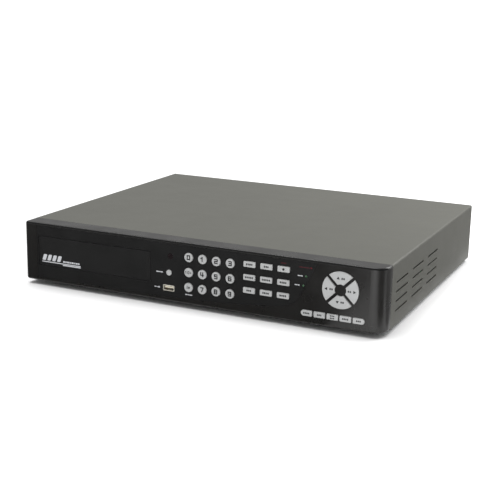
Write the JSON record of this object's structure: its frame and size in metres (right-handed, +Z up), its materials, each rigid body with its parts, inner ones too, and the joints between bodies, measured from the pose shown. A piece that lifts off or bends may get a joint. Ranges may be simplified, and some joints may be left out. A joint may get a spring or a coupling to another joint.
{
  "type": "digital video recorder",
  "caption": "Low rectangular steel-cased video recorder with a black keyed front, a sliding disc tray, vented sides and rear video jacks.",
  "frame": {"origin": "centre of the overall box in plan, on the plane that the rubber feet stand on", "axes": "+Z up, the keyed front faces -Y, +X to the right as seen from the front"},
  "size_m": [0.43, 0.3632, 0.073],
  "materials": {
    "key_plastic": "satin moulded, printed in dark grey",
    "bezel_plastic": "gloss black moulding",
    "overlay_plastic": "semi-gloss black printed sheet",
    "cover_paint": "fine-textured warm grey powder coat",
    "zinc_steel": "zinc-plated sheet",
    "rear_paint": "fine-textured warm grey powder coat",
    "foot_rubber": "matt moulded rubber",
    "screw_steel": "bright zinc",
    "circuit_board": "green solder mask",
    "led_lens": "clear tinted epoxy",
    "ir_lens": "dark red-black infra-red filter",
    "connector_steel": "nickel-plated shell",
    "fascia_plastic": "semi-gloss black moulding",
    "tray_plastic": "fine-textured dark moulding",
    "drive_case": "plated sheet",
    "drive_casting": "bare casting and cover",
    "supply_board": "phenolic board with its parts",
    "lead_sleeve": "flexible sleeve",
    "jack_nickel": "bright nickel plate",
    "audio_plastic": "moulded housing with plated shell",
    "terminal_plastic": "green moulding",
    "inlet_plastic": "black thermoset",
    "rocker_plastic": "black moulding",
    "fan_plastic": "black glass-filled moulding"
  },
  "bodies": {
    "case": {"front_bezel": "bezel_plastic", "front_overlay": "overlay_plastic", "top_cover": "cover_paint", "chassis_base": "zinc_steel", "rear_panel": "rear_paint", "rubber_feet": "foot_rubber", "case_screws": "screw_steel", "key_board": "circuit_board", "indicator_leds": "led_lens", "ir_window": "ir_lens", "front_usb_port": "connector_steel", "optical_drive": "drive_case", "drive_bracket": "zinc_steel", "hard_drive": "drive_casting", "main_board": "circuit_board", "power_supply": "supply_board", "cable_harness": "lead_sleeve", "video_jacks": "jack_nickel", "audio_jacks": "audio_plastic", "vga_port": "connector_steel", "lan_port": "connector_steel", "alarm_terminal": "terminal_plastic", "ac_inlet": "inlet_plastic", "switch_housing": "inlet_plastic", "fan_frame": "fan_plastic"},
    "disc_tray": {"disc_tray": "tray_plastic", "tray_fascia": "fascia_plastic"},
    "power_rocker": {"power_rocker": "rocker_plastic"},
    "fan_rotor": {"fan_rotor": "fan_plastic"},
    "number_key_0": {"number_key_0": "key_plastic"},
    "number_key_1": {"number_key_1": "key_plastic"},
    "number_key_2": {"number_key_2": "key_plastic"},
    "number_key_3": {"number_key_3": "key_plastic"},
    "tens_key": {"tens_key": "key_plastic"},
    "number_key_4": {"number_key_4": "key_plastic"},
    "number_key_5": {"number_key_5": "key_plastic"},
    "number_key_6": {"number_key_6": "key_plastic"},
    "auxiliary_key": {"auxiliary_key": "key_plastic"},
    "number_key_7": {"number_key_7": "key_plastic"},
    "number_key_8": {"number_key_8": "key_plastic"},
    "number_key_9": {"number_key_9": "key_plastic"},
    "function_key_1": {"function_key_1": "key_plastic"},
    "function_key_2": {"function_key_2": "key_plastic"},
    "function_key_3": {"function_key_3": "key_plastic"},
    "function_key_4": {"function_key_4": "key_plastic"},
    "function_key_5": {"function_key_5": "key_plastic"},
    "function_key_6": {"function_key_6": "key_plastic"},
    "function_key_7": {"function_key_7": "key_plastic"},
    "function_key_8": {"function_key_8": "key_plastic"},
    "function_key_9": {"function_key_9": "key_plastic"},
    "mode_key_1": {"mode_key_1": "key_plastic"},
    "mode_key_2": {"mode_key_2": "key_plastic"},
    "mode_key_3": {"mode_key_3": "key_plastic"},
    "mode_key_4": {"mode_key_4": "key_plastic"},
    "mode_key_5": {"mode_key_5": "key_plastic"},
    "up_key": {"up_key": "key_plastic"},
    "left_key": {"left_key": "key_plastic"},
    "down_key": {"down_key": "key_plastic"},
    "right_key": {"right_key": "key_plastic"},
    "eject_button": {"eject_button": "key_plastic"}
  },
  "joints": [
    {"name": "tray_slide", "type": "slide", "parent": "case", "child": "disc_tray", "axis": [0, -1, 0], "range_m": [0, 0.14]},
    {"name": "power_switch", "type": "hinge", "parent": "case", "child": "power_rocker", "pos_m": [-0.148, 0.169, 0.031], "axis": [-1, 0, 0], "range_deg": [0, 24]},
    {"name": "fan_spin", "type": "hinge", "parent": "case", "child": "fan_rotor", "pos_m": [-0.112, 0.1622, 0.041], "axis": [0, 1, 0], "continuous": true},
    {"name": "number_key_0_push", "type": "slide", "parent": "case", "child": "number_key_0", "axis": [0, 1, 0], "range_m": [0, 0.0008], "stiffness_N_per_m": 400, "springref_m": -0.001},
    {"name": "number_key_1_push", "type": "slide", "parent": "case", "child": "number_key_1", "axis": [0, 1, 0], "range_m": [0, 0.0008], "stiffness_N_per_m": 400, "springref_m": -0.001},
    {"name": "number_key_2_push", "type": "slide", "parent": "case", "child": "number_key_2", "axis": [0, 1, 0], "range_m": [0, 0.0008], "stiffness_N_per_m": 400, "springref_m": -0.001},
    {"name": "number_key_3_push", "type": "slide", "parent": "case", "child": "number_key_3", "axis": [0, 1, 0], "range_m": [0, 0.0008], "stiffness_N_per_m": 400, "springref_m": -0.001},
    {"name": "tens_key_push", "type": "slide", "parent": "case", "child": "tens_key", "axis": [0, 1, 0], "range_m": [0, 0.0008], "stiffness_N_per_m": 400, "springref_m": -0.001},
    {"name": "number_key_4_push", "type": "slide", "parent": "case", "child": "number_key_4", "axis": [0, 1, 0], "range_m": [0, 0.0008], "stiffness_N_per_m": 400, "springref_m": -0.001},
    {"name": "number_key_5_push", "type": "slide", "parent": "case", "child": "number_key_5", "axis": [0, 1, 0], "range_m": [0, 0.0008], "stiffness_N_per_m": 400, "springref_m": -0.001},
    {"name": "number_key_6_push", "type": "slide", "parent": "case", "child": "number_key_6", "axis": [0, 1, 0], "range_m": [0, 0.0008], "stiffness_N_per_m": 400, "springref_m": -0.001},
    {"name": "auxiliary_key_push", "type": "slide", "parent": "case", "child": "auxiliary_key", "axis": [0, 1, 0], "range_m": [0, 0.0008], "stiffness_N_per_m": 400, "springref_m": -0.001},
    {"name": "number_key_7_push", "type": "slide", "parent": "case", "child": "number_key_7", "axis": [0, 1, 0], "range_m": [0, 0.0008], "stiffness_N_per_m": 400, "springref_m": -0.001},
    {"name": "number_key_8_push", "type": "slide", "parent": "case", "child": "number_key_8", "axis": [0, 1, 0], "range_m": [0, 0.0008], "stiffness_N_per_m": 400, "springref_m": -0.001},
    {"name": "number_key_9_push", "type": "slide", "parent": "case", "child": "number_key_9", "axis": [0, 1, 0], "range_m": [0, 0.0008], "stiffness_N_per_m": 400, "springref_m": -0.001},
    {"name": "function_key_1_push", "type": "slide", "parent": "case", "child": "function_key_1", "axis": [0, 1, 0], "range_m": [0, 0.0008], "stiffness_N_per_m": 400, "springref_m": -0.001},
    {"name": "function_key_2_push", "type": "slide", "parent": "case", "child": "function_key_2", "axis": [0, 1, 0], "range_m": [0, 0.0008], "stiffness_N_per_m": 400, "springref_m": -0.001},
    {"name": "function_key_3_push", "type": "slide", "parent": "case", "child": "function_key_3", "axis": [0, 1, 0], "range_m": [0, 0.0008], "stiffness_N_per_m": 400, "springref_m": -0.001},
    {"name": "function_key_4_push", "type": "slide", "parent": "case", "child": "function_key_4", "axis": [0, 1, 0], "range_m": [0, 0.0008], "stiffness_N_per_m": 400, "springref_m": -0.001},
    {"name": "function_key_5_push", "type": "slide", "parent": "case", "child": "function_key_5", "axis": [0, 1, 0], "range_m": [0, 0.0008], "stiffness_N_per_m": 400, "springref_m": -0.001},
    {"name": "function_key_6_push", "type": "slide", "parent": "case", "child": "function_key_6", "axis": [0, 1, 0], "range_m": [0, 0.0008], "stiffness_N_per_m": 400, "springref_m": -0.001},
    {"name": "function_key_7_push", "type": "slide", "parent": "case", "child": "function_key_7", "axis": [0, 1, 0], "range_m": [0, 0.0008], "stiffness_N_per_m": 400, "springref_m": -0.001},
    {"name": "function_key_8_push", "type": "slide", "parent": "case", "child": "function_key_8", "axis": [0, 1, 0], "range_m": [0, 0.0008], "stiffness_N_per_m": 400, "springref_m": -0.001},
    {"name": "function_key_9_push", "type": "slide", "parent": "case", "child": "function_key_9", "axis": [0, 1, 0], "range_m": [0, 0.0008], "stiffness_N_per_m": 400, "springref_m": -0.001},
    {"name": "mode_key_1_push", "type": "slide", "parent": "case", "child": "mode_key_1", "axis": [0, 1, 0], "range_m": [0, 0.0008], "stiffness_N_per_m": 400, "springref_m": -0.001},
    {"name": "mode_key_2_push", "type": "slide", "parent": "case", "child": "mode_key_2", "axis": [0, 1, 0], "range_m": [0, 0.0008], "stiffness_N_per_m": 400, "springref_m": -0.001},
    {"name": "mode_key_3_push", "type": "slide", "parent": "case", "child": "mode_key_3", "axis": [0, 1, 0], "range_m": [0, 0.0008], "stiffness_N_per_m": 400, "springref_m": -0.001},
    {"name": "mode_key_4_push", "type": "slide", "parent": "case", "child": "mode_key_4", "axis": [0, 1, 0], "range_m": [0, 0.0008], "stiffness_N_per_m": 400, "springref_m": -0.001},
    {"name": "mode_key_5_push", "type": "slide", "parent": "case", "child": "mode_key_5", "axis": [0, 1, 0], "range_m": [0, 0.0008], "stiffness_N_per_m": 400, "springref_m": -0.001},
    {"name": "up_key_push", "type": "slide", "parent": "case", "child": "up_key", "axis": [0, 1, 0], "range_m": [0, 0.0008], "stiffness_N_per_m": 400, "springref_m": -0.001},
    {"name": "left_key_push", "type": "slide", "parent": "case", "child": "left_key", "axis": [0, 1, 0], "range_m": [0, 0.0008], "stiffness_N_per_m": 400, "springref_m": -0.001},
    {"name": "down_key_push", "type": "slide", "parent": "case", "child": "down_key", "axis": [0, 1, 0], "range_m": [0, 0.0008], "stiffness_N_per_m": 400, "springref_m": -0.001},
    {"name": "right_key_push", "type": "slide", "parent": "case", "child": "right_key", "axis": [0, 1, 0], "range_m": [0, 0.0008], "stiffness_N_per_m": 400, "springref_m": -0.001},
    {"name": "eject_button_push", "type": "slide", "parent": "case", "child": "eject_button", "axis": [0, 1, 0], "range_m": [0, 0.0008], "stiffness_N_per_m": 400, "springref_m": -0.001}
  ]
}
